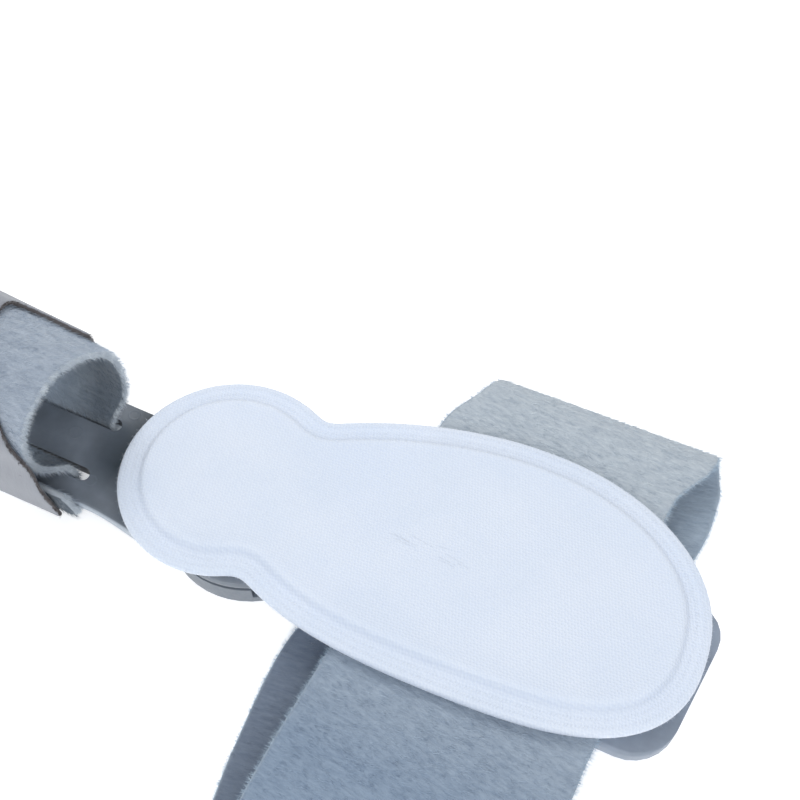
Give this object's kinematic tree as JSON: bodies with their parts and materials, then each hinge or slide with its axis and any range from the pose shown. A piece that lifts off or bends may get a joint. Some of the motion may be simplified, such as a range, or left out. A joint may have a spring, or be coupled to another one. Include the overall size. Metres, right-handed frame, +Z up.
{
  "type": "bunion corrector",
  "caption": "Hinged bunion corrector splint with a gourd-shaped gel pad, a wide plush midfoot strap and a slotted toe arm with a plush toe loop.",
  "frame": {"origin": "on the hinge axis, on the flat underside of the hinge drum", "axes": "+X along the foot arm towards the heel end, +Z up out of the inner face, along the hinge axis"},
  "size_m": [0.1769, 0.1231, 0.0515],
  "materials": {
    "foot_plastic": "satin moulded blue-grey plastic",
    "toe_plastic": "satin moulded dark grey plastic",
    "drum_plastic": "satin moulded grey plastic",
    "pin_plastic": "plain moulded plastic",
    "pad_knit": "fine white knit over gel, overlocked rim",
    "midfoot_plush": "brushed blue-grey plush",
    "toe_plush": "brushed blue-grey plush",
    "tab_cloth": "smooth woven back of a closing tab"
  },
  "bodies": {
    "foot_side": {"foot_arm": "foot_plastic", "midfoot_strap": "midfoot_plush", "gel_pad": "pad_knit"},
    "toe_side": {"toe_arm": "toe_plastic", "drum_cap": "drum_plastic", "hinge_pin": "pin_plastic", "toe_strap": "toe_plush", "toe_strap_tab": "tab_cloth"}
  },
  "joints": [
    {"name": "splint_hinge", "type": "hinge", "parent": "foot_side", "child": "toe_side", "pos_m": [0, 0, 0], "axis": [0, 0, 1], "range_deg": [-33, 27]}
  ]
}
